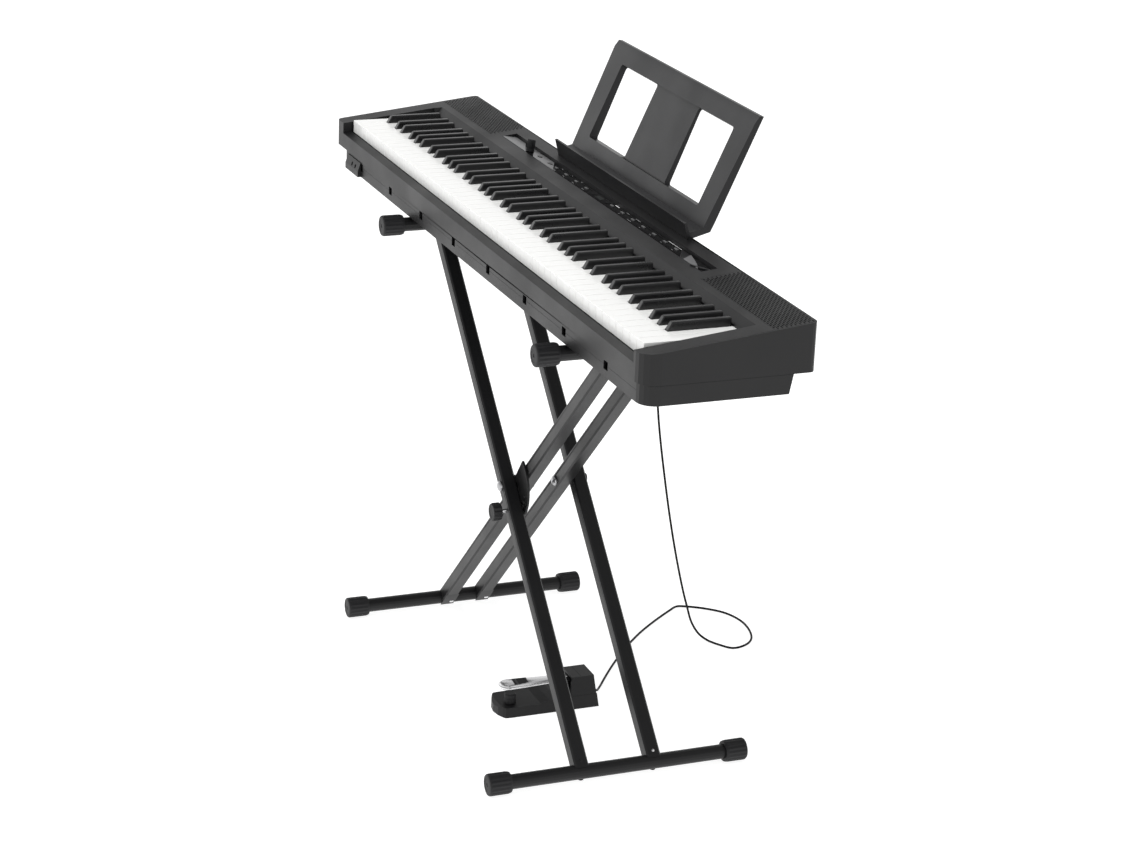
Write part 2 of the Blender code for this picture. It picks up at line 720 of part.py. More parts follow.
def cap(name, x, z, end, inward, flat, origin=None):
    """A rubber end cap: a thick sleeve over the tube's end, flat where it stands or carries."""
    fit = TUBE / 2 + 0.2
    face = end
    profile = [(15.0, face), (16.5, face + inward * 2.0), (16.5, face + inward * (CAP_LONG - 2.0)),
               (15.2, face + inward * CAP_LONG), (fit, face + inward * CAP_LONG),
               (fit, face + inward * 5.8)]
    return turned(name, (RUBBER, 0.7), profile, 18,
                  lambda a, b, s: metres(x + a, s, z + b), origin, flat, 0.0)


for word, x, z, ends, flat, origin in (
        ("treble_foot", TREBLE_X, FOOT_Z, FOOT_ENDS, -FOOT_Z, None),
        ("bass_foot", BASS_X, FOOT_Z, FOOT_ENDS, -FOOT_Z, PIVOT),
        ("bass_arm", BASS_X, ARM_Z, ARM_ENDS, CASE_BOTTOM - GAP - ARM_Z, None),
        ("treble_arm", TREBLE_X, ARM_Z, ARM_ENDS, CASE_BOTTOM - GAP - ARM_Z, PIVOT)):
    cap(word + "_cap_front", x, z, ends[0], 1, flat, origin)
    cap(word + "_cap_rear", x, z, ends[1], -1, flat, origin)


def pivot_bolt(name, start, stop):
    """Domed bolt with its nut, through one pair of legs."""
    profile = [(0.0, start - 5.4), (5.0, start - 4.8), (8.0, start - 2.0), (8.0, start - GAP),
               (4.0, start - GAP),
               (4.0, stop + GAP), (7.0, stop + GAP), (7.0, stop + 3.5)]
    return turned(name, (STEEL, 0.2, 1.0), profile, 14,
                  lambda a, b, s: metres(PIVOT_X + a, s, PIVOT_Z + b))


pivot_bolt("pivot_bolt_front", A_FRONT, B_FRONT + TUBE)
pivot_bolt("pivot_bolt_rear", B_REAR, A_REAR + TUBE)

PLATE_Y = (55.4, 58.6)
fan = arc(0, 0, 53.0, -66, 62, 14) + arc(0, 0, 15.0, 90, 266, 8)
lock_plate = prism("lock_plate", (STAND, 0.45), [(PIVOT_X + a, PIVOT_Z + b) for a, b in fan],
                   PLATE_Y[0], PLATE_Y[1], along_y, PIVOT)
plate_holes = [turned("hole", (STAND, 0.5), [(4.4, 50.0), (4.4, 65.0)], 10,
                      lambda a, b, s: metres(PIVOT_X + a, s, PIVOT_Z + b))]
for turn_by in (0.0, 20.7, 35.2):
    angle = -LEG_ANGLE + math.radians(turn_by)
    x = PIVOT_X + HOLE_RADIUS * math.cos(angle)
    z = PIVOT_Z + HOLE_RADIUS * math.sin(angle)
    plate_holes.append(turned("hole", (STAND, 0.5), [(3.4, 50.0), (3.4, 65.0)], 10,
                              lambda a, b, s, x=x, z=z: metres(x + a, s, z + b)))
combine(lock_plate, plate_holes, "DIFFERENCE")

LOCK_X = PIVOT_X + HOLE_RADIUS * math.cos(LEG_ANGLE)
LOCK_Z = PIVOT_Z - HOLE_RADIUS * math.sin(LEG_ANGLE)
turned("lock_knob", (RUBBER, 0.5),
       [(0.0, 7.0), (12.6, 7.0), (14.0, 8.6), (14.0, 20.0), (12.0, 21.2), (3.0, 21.2), (3.0, 54.2),
        (2.2, 55.1)],
       24, lambda a, b, s: metres(LOCK_X + a, s, LOCK_Z + b), (LOCK_X, 21.0, LOCK_Z))

# ---------------------------------------------------------------- pedal
PEDAL = (79.0, 139.6)
PEDAL_MID = (PEDAL[0] + PEDAL[1]) / 2
LEVER_MID = 119.4
pedal_base = prism("pedal_base", (BLACK, 0.5),
                   [(3.0, 0.0), (165.5, 0.0), (161.5, 22.0), (96.0, 22.0), (84.0, 20.5), (70.0, 17.2),
                    (9.0, 16.4), (4.0, 12.0)], PEDAL[0], PEDAL[1], along_x)
nose = [(PEDAL[0], 170.0), (PEDAL[0], 20.0)]
nose += [(PEDAL_MID + 30.3 * t, 14.0 - 10.5 * (1 - t * t)) for t in (-0.97, -0.8, -0.5, 0.0, 0.5, 0.8, 0.97)]
nose += [(PEDAL[1], 20.0), (PEDAL[1], 170.0)]
combine(pedal_base, [prism("nose", (BLACK, 0.5), nose, -5.0, 40.0, along_z)], "INTERSECT")
cells("pedal_housing", (BLACK, 0.5), [99.0, 103.0, PEDAL[1] - 4.0, PEDAL[1]],
      [119.0, 156.5, 160.5], [22.3, 26.0, 51.4, 54.0],
      lambda x, y, z: not (103 < x < PEDAL[1] - 4 and y < 156.5 and 26 < z < 51.4),
      lambda x, y, z: metres(x, y - 5.5 * (z - 22) / 32.0 * (y > 150), z))
LEVER_AXIS = (118.55, 140.0, 45.0)
toe = [(LEVER_MID + 15.0 * math.cos(math.radians(t)), 22.0 + 14.0 * math.sin(math.radians(t)))
       for t in (180, 200, 220, 240, 258, 282, 300, 320, 340, 360)]
toe += [(LEVER_MID + 13.8, 45.0), (LEVER_MID + 10.8, 85.0), (LEVER_MID + 10.6, 150.0),
        (LEVER_MID - 10.6, 150.0), (LEVER_MID - 10.8, 85.0), (LEVER_MID - 13.8, 45.0)]
prism("pedal_lever", (STEEL, 0.25, 1.0), toe, 43.0, 50.0, along_z, origin=LEVER_AXIS)
turned("pedal_stop", (RUBBER, 0.7), [(9.0, 17.3), (9.0, 31.0), (7.6, 32.5)], 16,
       lambda a, b, s: metres(120.0 + a, 26.5 + b, s))

# ---------------------------------------------------------------- pedal plug and cord
turned("pedal_plug", (RUBBER, 0.5),
       [(3.1, 212.0), (3.1, 231.4), (6.0, 231.4), (6.0, 258.0), (3.0, 262.0), (3.0, 272.0)], 14,
       lambda a, b, s: metres(-50 + a, s, 735 + b))

ROUTE = [(-50, 272.5, 735), (-50, 286, 734.6), (-50, 306, 715), (-50, 313, 640), (-50, 318, 520),
         (-50, 324, 407), (-50, 345, 272), (-50, 366, 167), (-50, 385, 90), (-50, 394, 60), (-50, 404, 30),
         (-48, 418, 8), (-30, 428, 2.2), (-15, 436, 2.2), (6, 454, 2.2), (-1, 481, 2.2), (-24, 501, 2.2),
         (-81, 513, 2.2), (-125, 502, 2.2), (-151, 479, 2.2), (-170, 450, 2.2), (-175, 435, 2.2),
         (-162, 415, 2.2), (-92, 332, 2.2), (-6, 255, 2.2), (85, 188, 3.5), (110, 173, 12.5),
         (116.5, 164.4, 18.4)]


def smooth(points, spacing):
    """Even points along a smooth curve through the route."""
    fine = []
    ends = [points[0]] + list(points) + [points[-1]]
    for n in range(1, len(ends) - 2):
        p0, p1, p2, p3 = [Vector(p) for p in ends[n - 1:n + 3]]
        knots = [0.0]
        for a, b in ((p0, p1), (p1, p2), (p2, p3)):
            knots.append(knots[-1] + max((b - a).length, 1e-3) ** 0.5)
        for step in range(16):
            t = knots[1] + (knots[2] - knots[1]) * step / 16.0
            a1 = p0.lerp(p1, (t - knots[0]) / (knots[1] - knots[0])) if n > 1 else p1
            a2 = p1.lerp(p2, (t - knots[1]) / (knots[2] - knots[1]))
            a3 = p2.lerp(p3, (t - knots[2]) / (knots[3] - knots[2])) if n < len(ends) - 3 else p2
            b1 = a1.lerp(a2, (t - knots[0]) / (knots[2] - knots[0]))
            b2 = a2.lerp(a3, (t - knots[1]) / (knots[3] - knots[1]))
            fine.append(b1.lerp(b2, (t - knots[1]) / (knots[2] - knots[1])))
    fine.append(Vector(points[-1]))
    total = sum((b - a).length for a, b in zip(fine[:-1], fine[1:]))
    count = int(round(total / spacing))
    result = [fine[0]]
    walked = 0.0
    target = 1
    for a, b in zip(fine[:-1], fine[1:]):
        length = (b - a).length
        while target < count and walked + length >= total * target / count:
            result.append(a.lerp(b, (total * target / count - walked) / length))
            target += 1
        walked += length
    result.append(fine[-1])
    return result


cord_points = smooth(ROUTE, 18.5)
curve = bpy.data.curves.new("pedal_cord", "CURVE")
curve.dimensions = "3D"
curve.bevel_depth = CORD_RADIUS / 1000.0
curve.bevel_resolution = 2
curve.use_fill_caps = True
line = curve.splines.new("POLY")
line.points.add(len(cord_points) - 1)
for point, spot in zip(line.points, cord_points):
    place = metres(spot.x, spot.y, max(spot.z, 2.2))
    point.co = (place.x, place.y, place.z, 1.0)
cord = bpy.data.objects.new("pedal_cord", curve)
bpy.context.scene.collection.objects.link(cord)
cord.data.materials.append(material("pedal_cord", RUBBER, 0.5))
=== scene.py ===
"""Visual model of a digital piano on a folding crossed-leg stand, with its pedal and cord.

Sizes are in millimetres of the keyboard frame: x runs from bass to treble, y back from the
white keys' front edge, z up from the floor. metres() turns them into the model's frame.
"""
import bpy
import bmesh
import math
from mathutils import Matrix, Vector


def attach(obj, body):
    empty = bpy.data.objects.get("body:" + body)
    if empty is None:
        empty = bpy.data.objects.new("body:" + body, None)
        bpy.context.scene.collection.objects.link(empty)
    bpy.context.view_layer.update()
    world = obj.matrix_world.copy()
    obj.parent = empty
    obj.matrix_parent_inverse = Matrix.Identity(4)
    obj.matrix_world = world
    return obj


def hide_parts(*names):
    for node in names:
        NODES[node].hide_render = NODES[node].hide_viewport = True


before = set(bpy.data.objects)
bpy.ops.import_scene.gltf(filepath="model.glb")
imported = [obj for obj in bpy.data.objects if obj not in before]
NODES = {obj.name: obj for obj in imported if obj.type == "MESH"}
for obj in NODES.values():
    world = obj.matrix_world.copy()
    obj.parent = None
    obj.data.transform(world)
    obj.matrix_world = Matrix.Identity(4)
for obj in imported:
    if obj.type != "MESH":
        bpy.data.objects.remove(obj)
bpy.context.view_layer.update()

Y_SHIFT = -112.0


def metres(x, y, z):
    """Millimetres of the keyboard frame to metres of the model's frame."""
    return Vector((x / 1000.0, (y + Y_SHIFT) / 1000.0, z / 1000.0))


# ---------------------------------------------------------------- camera
AZIMUTH = math.radians(22.56)
PITCH = math.radians(19.73)
ROLL = math.radians(2.42)
CAMERA_SPOT = (3.7652, -1.5200, 1.8685)
SENSOR_WIDTH = 36.0
FOCAL_LENGTH = 89.63
forward = Vector((-math.cos(PITCH) * math.cos(AZIMUTH), math.cos(PITCH) * math.sin(AZIMUTH),
                  -math.sin(PITCH)))
level = forward.cross(Vector((0, 0, 1))).normalized()
upright = level.cross(forward)
right = level * math.cos(ROLL) + upright * math.sin(ROLL)
up = upright * math.cos(ROLL) - level * math.sin(ROLL)
camera_data = bpy.data.cameras.new("camera")
camera_data.sensor_width = SENSOR_WIDTH
camera_data.lens = FOCAL_LENGTH
camera_data.clip_end = 50.0
camera = bpy.data.objects.new("camera", camera_data)
turn = Matrix((right, up, -forward)).transposed().to_4x4()
camera.matrix_world = Matrix.Translation(CAMERA_SPOT) @ turn
bpy.context.scene.collection.objects.link(camera)
bpy.context.scene.camera = camera

# ---------------------------------------------------------------- materials


def look(name, colour, rough, metal=0.0, grain=0.12, size=900.0, mottle=0.10, coat=0.0, specular=0.5,
         uneven=0.06):
    """Procedural material: faint colour mottling, uneven roughness and a fine moulded or painted grain."""
    mat = bpy.data.materials.new(name)
    mat.use_nodes = True
    nodes = mat.node_tree.nodes
    links = mat.node_tree.links
    shader = nodes["Principled BSDF"]
    shader.inputs["Metallic"].default_value = metal
    shader.inputs["Coat Weight"].default_value = coat
    shader.inputs["Coat Roughness"].default_value = 0.08
    shader.inputs["Specular IOR Level"].default_value = specular
    place = nodes.new("ShaderNodeTexCoord")
    wide = nodes.new("ShaderNodeTexNoise")
    wide.inputs["Scale"].default_value = 9.0
    wide.inputs["Detail"].default_value = 5.0
    fine = nodes.new("ShaderNodeTexNoise")
    fine.inputs["Scale"].default_value = size
    fine.inputs["Detail"].default_value = 2.0
    links.new(place.outputs["Object"], wide.inputs["Vector"])
    links.new(place.outputs["Object"], fine.inputs["Vector"])
    tint = nodes.new("ShaderNodeMix")
    tint.data_type = "RGBA"
    tint.inputs["A"].default_value = [c * (1 - mottle) for c in colour] + [1.0]
    tint.inputs["B"].default_value = [min(1.0, c * (1 + mottle)) for c in colour] + [1.0]
    links.new(wide.outputs["Fac"], tint.inputs["Factor"])
    links.new(tint.outputs["Result"], shader.inputs["Base Color"])
    spread = nodes.new("ShaderNodeMapRange")
    spread.inputs["From Min"].default_value = 0.3
    spread.inputs["From Max"].default_value = 0.7
    spread.inputs["To Min"].default_value = max(0.03, rough - uneven)
    spread.inputs["To Max"].default_value = rough + uneven
    links.new(wide.outputs["Fac"], spread.inputs["Value"])
    links.new(spread.outputs["Result"], shader.inputs["Roughness"])
    if grain:
        bump = nodes.new("ShaderNodeBump")
        bump.inputs["Strength"].default_value = grain
        bump.inputs["Distance"].default_value = 0.0002
        links.new(fine.outputs["Fac"], bump.inputs["Height"])
        links.new(bump.outputs["Normal"], shader.inputs["Normal"])
    return mat


CASE = look("case plastic", (0.008, 0.008, 0.0085), 0.42, grain=0.18, specular=0.34)
# dark case plastic for the key bed, jack, housing seam and lever pad; also used as painted shade on the music
# rest's window walls and on the pedal lever's end inside its housing
CASE_DARK_AND_SHADE = look("dark case plastic and painted shade", (0.004, 0.004, 0.0045), 0.55, grain=0.1, specular=0.2)
GLOSS = look("panel gloss", (0.004, 0.004, 0.0045), 0.22, grain=0.0, uneven=0.03, specular=0.12)
PALE = look("pale panel", (0.15, 0.15, 0.153), 0.40, grain=0.06)
LEGEND = look("legend", (0.30, 0.30, 0.305), 0.5, grain=0.0)
MARK = look("white mark", (0.80, 0.80, 0.80), 0.45, grain=0.0, mottle=0.03)
BUTTON = look("button rubber", (0.13, 0.13, 0.132), 0.45, grain=0.1)
SCREEN = look("screen", (0.020, 0.022, 0.021), 0.25, grain=0.0, specular=0.4)
WHITE = look("white key", (0.90, 0.90, 0.885), 0.22, grain=0.0, mottle=0.01, coat=0.15)
BLACK = look("black key", (0.007, 0.007, 0.0075), 0.30, grain=0.0, specular=0.5)
PAINT = look("stand paint", (0.009, 0.009, 0.0095), 0.38, grain=0.2, size=1400.0, specular=0.30)
PEDAL = look("pedal plastic", (0.007, 0.007, 0.0075), 0.45, grain=0.12, specular=0.25)
STEEL = look("bolt steel", (0.42, 0.42, 0.43), 0.28, metal=1.0, grain=0.0, mottle=0.04)
RUBBER = look("rubber", (0.010, 0.010, 0.011), 0.55, grain=0.25, size=1200.0, specular=0.35)
CHROME = look("chrome", (0.80, 0.80, 0.81), 0.16, metal=1.0, grain=0.0, mottle=0.02, uneven=0.03)
SPEAKER = look("speaker", (0.02, 0.02, 0.02), 0.7, grain=0.4)
BOARD = look("board", (0.03, 0.12, 0.06), 0.45, grain=0.1)
REST = look("rest plastic", (0.013, 0.013, 0.014), 0.40, grain=0.10, specular=0.26)
CORD = look("cord sleeve", (0.004, 0.004, 0.0045), 0.5, grain=0.1, specular=0.15)

# ---------------------------------------------------------------- mesh helpers
SHARP_ANGLE = math.radians(35.0)
NORMAL_WEIGHT = 80


def shown(bm, name, mat, body, nodes=(), bevel=0.0, steps=2, smooth=True):
    """Make one visible piece of a bmesh: orient, bevel, shade, dress and put it on its body."""
    if bm.calc_volume(signed=True) < 0:
        bmesh.ops.reverse_faces(bm, faces=bm.faces)
    mesh = bpy.data.meshes.new(name)
    bm.to_mesh(mesh)
    bm.free()
    piece = bpy.data.objects.new(name, mesh)
    bpy.context.scene.collection.objects.link(piece)
    for one in mat if isinstance(mat, list) else [mat]:
        mesh.materials.append(one)
    polish(piece, bevel, steps, smooth=smooth)
    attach(piece, body)
    if nodes:
        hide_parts(*nodes)
    return piece


def polish(piece, bevel, steps, angle=30.0, smooth=True):
    """Round the sharp edges a little, and shade smoothly between the edges that stay sharp."""
    if bevel:
        soft = piece.modifiers.new("edge", "BEVEL")
        soft.width = bevel / 1000.0
        soft.segments = steps
        soft.limit_method = "ANGLE"
        soft.angle_limit = math.radians(angle)
        soft.use_clamp_overlap = True
        soft.miter_outer = "MITER_ARC"
    if not smooth:
        return
    mesh = piece.data
    for face in mesh.polygons:
        face.use_smooth = True
    if bevel:
        even = piece.modifiers.new("shade", "WEIGHTED_NORMAL")
        even.keep_sharp = True
        even.weight = NORMAL_WEIGHT
        return
    bm = bmesh.new()
    bm.from_mesh(mesh)
    for edge in bm.edges:
        if len(edge.link_faces) == 2 and edge.calc_face_angle(0.0) > SHARP_ANGLE:
            edge.smooth = False
    bm.to_mesh(mesh)
    bm.free()


def dress(node, mat, bevel=0.0, steps=2):
    """Give a CAD node its finish, merge its flat runs and round its edges by modifiers."""
    piece = NODES[node]
    piece.data.materials.clear()
    piece.data.materials.append(mat)
    if bevel:
        flat = piece.modifiers.new("flat", "DECIMATE")
        flat.decimate_type = "DISSOLVE"
        flat.angle_limit = math.radians(0.5)
        soft = piece.modifiers.new("edge", "BEVEL")
        soft.width = bevel / 1000.0
        soft.segments = steps
        soft.limit_method = "ANGLE"
        soft.angle_limit = math.radians(30.0)
        even = piece.modifiers.new("shade", "WEIGHTED_NORMAL")
        even.weight = NORMAL_WEIGHT
    for face in piece.data.polygons:
        face.use_smooth = bool(bevel)


def add_prism(bm, outline, low, high, place, which=0):
    """Add a closed prism: a flat outline (a, b) pushed from low to high; place takes (a, b, depth)."""
    near = [bm.verts.new(place(a, b, low)) for a, b in outline]
    far = [bm.verts.new(place(a, b, high)) for a, b in outline]
    faces = [bm.faces.new(near), bm.faces.new(list(reversed(far)))]
    for n in range(len(outline)):
        m = (n + 1) % len(outline)
        faces.append(bm.faces.new([near[m], near[n], far[n], far[m]]))
    for face in faces:
        face.material_index = which


def add_loft(bm, rings, which=0):
    """Add a closed body through rings of points, with flat ends."""
    loops = [[bm.verts.new(p) for p in ring] for ring in rings]
    faces = []
    for one, two in zip(loops[:-1], loops[1:]):
        for n in range(len(one)):
            m = (n + 1) % len(one)
            faces.append(bm.faces.new([one[n], one[m], two[m], two[n]]))
    faces.append(bm.faces.new(list(reversed(loops[0]))))
    faces.append(bm.faces.new(loops[-1]))
    for face in faces:
        face.material_index = which


def add_turned(bm, profile, steps, place, flutes=0, depth=0.0, fluted=(), flat=None, which=0):
    """Add a turned body: profile lists (radius, along) and the rings named in fluted carry flutes.

    Where flat is given, the body is cut off level at that height below or above its axis.
    """
    rings = []
    for number, (radius, along) in enumerate(profile):
        if radius < 1e-6:
            rings.append([bm.verts.new(place(0.0, 0.0, along))])
            continue
        ring = []
        for n in range(steps):
            turn = 2 * math.pi * (n + 0.5) / steps
            r = radius
            if number in fluted:
                r -= depth * (0.5 + 0.5 * math.cos(flutes * turn))
            a = r * math.cos(turn)
            b = r * math.sin(turn)
            if flat is not None:
                b = max(b, flat) if flat < 0 else min(b, flat)
            ring.append(bm.verts.new(place(a, b, along)))
        rings.append(ring)
    faces = []
    for one, two in zip(rings[:-1], rings[1:]):
        for n in range(steps):
            m = (n + 1) % steps
            if len(one) == 1:
                faces.append(bm.faces.new([one[0], two[n], two[m]]))
            elif len(two) == 1:
                faces.append(bm.faces.new([one[n], two[0], one[m]]))
            else:
                faces.append(bm.faces.new([one[n], two[n], two[m], one[m]]))
    if len(rings[0]) > 1:
        faces.append(bm.faces.new(rings[0]))
    if len(rings[-1]) > 1:
        faces.append(bm.faces.new(list(reversed(rings[-1]))))
    for face in faces:
        face.material_index = which


def cut(piece, cutters):
    """Cut helper bodies out of a piece, keep the plain result and remove the helpers."""
    mats = list(piece.data.materials)
    for other in cutters:
        step = piece.modifiers.new("cut", "BOOLEAN")
        step.operation = "DIFFERENCE"
        step.solver = "EXACT"
        step.object = other
        bpy.context.view_layer.update()
        graph = bpy.context.evaluated_depsgraph_get()
        result = bpy.data.meshes.new_from_object(piece.evaluated_get(graph))
        piece.modifiers.remove(step)
        piece.data = result
        result.materials.clear()
        for mat in mats:
            result.materials.append(mat)
        bpy.data.objects.remove(other, do_unlink=True)


def helper(bm, name):
    """A loose body used only to cut with."""
    if bm.calc_volume(signed=True) < 0:
        bmesh.ops.reverse_faces(bm, faces=bm.faces)
    mesh = bpy.data.meshes.new(name)
    bm.to_mesh(mesh)
    bm.free()
    body = bpy.data.objects.new(name, mesh)
    bpy.context.scene.collection.objects.link(body)
    return body


def arc(cx, cy, radius, start, stop, steps):
    """Points of an arc, in degrees."""
    turns = [math.radians(start + (stop - start) * n / steps) for n in range(steps + 1)]
    return [(cx + radius * math.cos(turn), cy + radius * math.sin(turn)) for turn in turns]


def rounded(x0, y0, x1, y1, radius, steps=5):
    """Outline of a rectangle with round corners."""
    return (arc(x1 - radius, y1 - radius, radius, 0, 90, steps)
            + arc(x0 + radius, y1 - radius, radius, 90, 180, steps)
            + arc(x0 + radius, y0 + radius, radius, 180, 270, steps)
            + arc(x1 - radius, y0 + radius, radius, 270, 360, steps))


def along_x(a, b, depth):
    """Outline in (y, z), pushed along x."""
    return metres(depth, a, b)


def along_z(a, b, depth):
    """Outline in (x, y), pushed up z."""
    return metres(a, b, depth)


SLOPE = 0.1118


def deck(y):
    """Height of the sloping top of the case."""
    return 744.9 + SLOPE * y


# ---------------------------------------------------------------- pedal cord
CORD_RADIUS = 1.8
CORD_REST = 2.2
SPAN_STEPS = 6
ROUTE = [(-50, 272.5, 735), (-50, 286, 734.6), (-50, 306, 715), (-50, 313, 640), (-50, 318, 520),
         (-50, 324, 407), (-50, 345, 272), (-50, 366, 167), (-50, 385, 90), (-50, 394, 60),
         (-50, 404, 30), (-48, 418, 8), (-30, 428, 2.2), (-15, 436, 2.2), (6, 454, 2.2),
         (-1, 481, 2.2), (-24, 501, 2.2), (-81, 513, 2.2), (-125, 502, 2.2), (-151, 479, 2.2),
         (-170, 450, 2.2), (-175, 435, 2.2), (-162, 415, 2.2), (-92, 332, 2.2), (-6, 255, 2.2),
         (85, 188, 3.5), (110, 173, 12.5), (116.5, 164.4, 18.4)]


def smooth(points, per_span):
    """A centripetal Catmull-Rom curve through the route's points."""
    fine = []
    ends = [points[0]] + list(points) + [points[-1]]
    for n in range(1, len(ends) - 2):
        p0, p1, p2, p3 = [Vector(p) for p in ends[n - 1:n + 3]]
        knots = [0.0]
        for a, b in ((p0, p1), (p1, p2), (p2, p3)):
            knots.append(knots[-1] + max((b - a).length, 1e-3) ** 0.5)
        for step in range(per_span):
            t = knots[1] + (knots[2] - knots[1]) * step / per_span
            a1 = p0.lerp(p1, (t - knots[0]) / (knots[1] - knots[0])) if n > 1 else p1
            a2 = p1.lerp(p2, (t - knots[1]) / (knots[2] - knots[1]))
            a3 = p2.lerp(p3, (t - knots[2]) / (knots[3] - knots[2])) if n < len(ends) - 3 else p2
            b1 = a1.lerp(a2, (t - knots[0]) / (knots[2] - knots[0]))
            b2 = a2.lerp(a3, (t - knots[1]) / (knots[3] - knots[1]))
            fine.append(b1.lerp(b2, (t - knots[1]) / (knots[2] - knots[1])))
    fine.append(Vector(points[-1]))
    return fine


cord_path = smooth(ROUTE, SPAN_STEPS)
curve = bpy.data.curves.new("pedal_cord_lead", "CURVE")
curve.dimensions = "3D"
curve.bevel_depth = CORD_RADIUS / 1000.0
curve.bevel_resolution = 4
curve.use_fill_caps = True
line = curve.splines.new("POLY")
line.points.add(len(cord_path) - 1)
line.use_smooth = True
for point, spot in zip(line.points, cord_path):
    place = metres(spot.x, spot.y, max(spot.z, CORD_REST))
    point.co = (place.x, place.y, place.z, 1.0)
cord = bpy.data.objects.new("pedal_cord_lead", curve)
bpy.context.scene.collection.objects.link(cord)
curve.materials.append(CORD)
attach(cord, "instrument")
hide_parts("pedal_cord")

# ---------------------------------------------------------------- keys
PITCH_X = 23.5
KEYS_LEFT = -611.0
KEY_GAP = 0.84
KEY_TOP = 748.6
KEY_DEPTH = 160.0
NOTCH = 49.0
NOTCH_HALF = 6.6
GROUPS = [(0, 8), (9, 15), (16, 22), (23, 29), (30, 36), (37, 43), (44, 51)]


def sharps_between(first, last):
    """Middle x of the black keys between white keys first..last."""
    found = []
    for boundary in range(first + 1, last + 1):
        shift = {0: -2.35, 1: 2.35, 3: -3.36, 4: 0.0, 5: 3.36}.get((boundary - 3) % 7)
        if boundary == 1:
            shift = 3.36
        if shift is not None:
            found.append(KEYS_LEFT + PITCH_X * boundary + shift)
    return found


ALL_SHARPS = sharps_between(0, 51)


def white_keys(name, node, first, last):
    """One group of white keys, each a separate body with its cut-outs for the black keys."""
    bm = bmesh.new()
    for key in range(first, last + 1):
        left = KEYS_LEFT + PITCH_X * key + KEY_GAP / 2
        right = left + PITCH_X - KEY_GAP
        left_in, right_in = left, right
        for middle in ALL_SHARPS:
            if middle - NOTCH_HALF < left < middle + NOTCH_HALF:
                left_in = middle + NOTCH_HALF
            if middle - NOTCH_HALF < right < middle + NOTCH_HALF:
                right_in = middle - NOTCH_HALF
        outline = [(left_in, KEY_DEPTH)]
        if left_in > left:
            outline += [(left_in, NOTCH), (left, NOTCH)]
        outline += [(left, 0.0), (right, 0.0)]
        if right_in < right:
            outline += [(right, NOTCH), (right_in, NOTCH)]
        outline.append((right_in, KEY_DEPTH))
        add_prism(bm, outline, KEY_TOP - 20.0, KEY_TOP, along_z)
    return shown(bm, name, WHITE, node, [node], bevel=0.7, steps=3)


def black_keys(name, node, first, last):
    """One group of black keys, with sloped noses and narrowed tops."""
    bm = bmesh.new()
    for middle in sharps_between(first, last):
        rings = []
        for z, half, front in ((729.0, 5.5, 50.0), (KEY_TOP + 0.5, 5.5, 50.0), (759.9, 4.1, 56.5)):
            rings.append([metres(middle + a, b, z) for a, b in
                          ((-half, front), (half, front), (half, 141.3), (-half, 141.3))])
        add_loft(bm, rings)
    return shown(bm, name, BLACK, node, [node], bevel=1.5, steps=4)


for number, (first, last) in enumerate(GROUPS):
    white_keys("white_keys_" + str(number + 1), "natural_keys_" + str(number + 1), first, last)
    black_keys("black_keys_" + str(number + 1), "sharp_keys_" + str(number + 1), first, last)

# ---------------------------------------------------------------- case
dress("top_case", CASE, 0.9, 3)
dress("lower_case", CASE, 0.8, 2)
dress("key_bed", CASE_DARK_AND_SHADE)
dress("main_board", BOARD)
dress("pedal_jack", CASE_DARK_AND_SHADE, 0.4)
dress("headphone_jacks", CASE, 0.6)
dress("pedal_plug", RUBBER, 0.4)
dress("control_panel", GLOSS)
dress("power_button", GLOSS, 0.4)
dress("function_button", GLOSS, 0.4)
dress("speaker_left", SPEAKER)
dress("speaker_right", SPEAKER)

# the seam on the lower front runs between the slots: a raised strip that catches light, with the lighter rest
# plastic as a painted highlight on top of that
bm = bmesh.new()
seam_runs = [(-516.0, -379.8), (-366.4, -230.6), (-217.2, -81.3), (-67.9, 67.9),
             (81.3, 217.2), (230.6, 366.4), (379.8, 515.6), (529.0, 624.0)]
for start, stop in seam_runs:
    add_prism(bm, [(-13.9, 690.7), (-14.2, 690.8), (-14.2, 691.2), (-13.9, 691.3)], start, stop, along_x)
shown(bm, "front_seam", REST, "instrument", smooth=False)

# ---------------------------------------------------------------- control recess
RECESS_FRONT = 180.4
FLOOR_TURN = math.atan(SLOPE - 6.5 / 24.6)
KNOB_X = -296.0
KNOB_S = 10.4


def floor_place(x, s, n):
    """x, distance back along the recess's floor, distance out of it."""
    return metres(x, RECESS_FRONT + s * math.cos(FLOOR_TURN) - n * math.sin(FLOOR_TURN),
                  deck(RECESS_FRONT) + s * math.sin(FLOOR_TURN) + n * math.cos(FLOOR_TURN))


def oval(middle, wide, deep, s_mid=13.05, steps=28):
    """Outline of an oval button on the recess floor."""
    turns = [2 * math.pi * n / steps for n in range(steps)]
    return [(middle + wide * math.cos(turn), s_mid + deep * math.sin(turn)) for turn in turns]


def bar(middle, s_mid, long, deep, lean=0.35):
    """A short printed bar or key top, leaning with the panel's slanted sections."""
    shift = lean * deep
    return [(middle - long / 2 + shift, s_mid - deep / 2), (middle + long / 2 + shift, s_mid - deep / 2),
            (middle + long / 2 - shift, s_mid + deep / 2), (middle - long / 2 - shift, s_mid + deep / 2)]


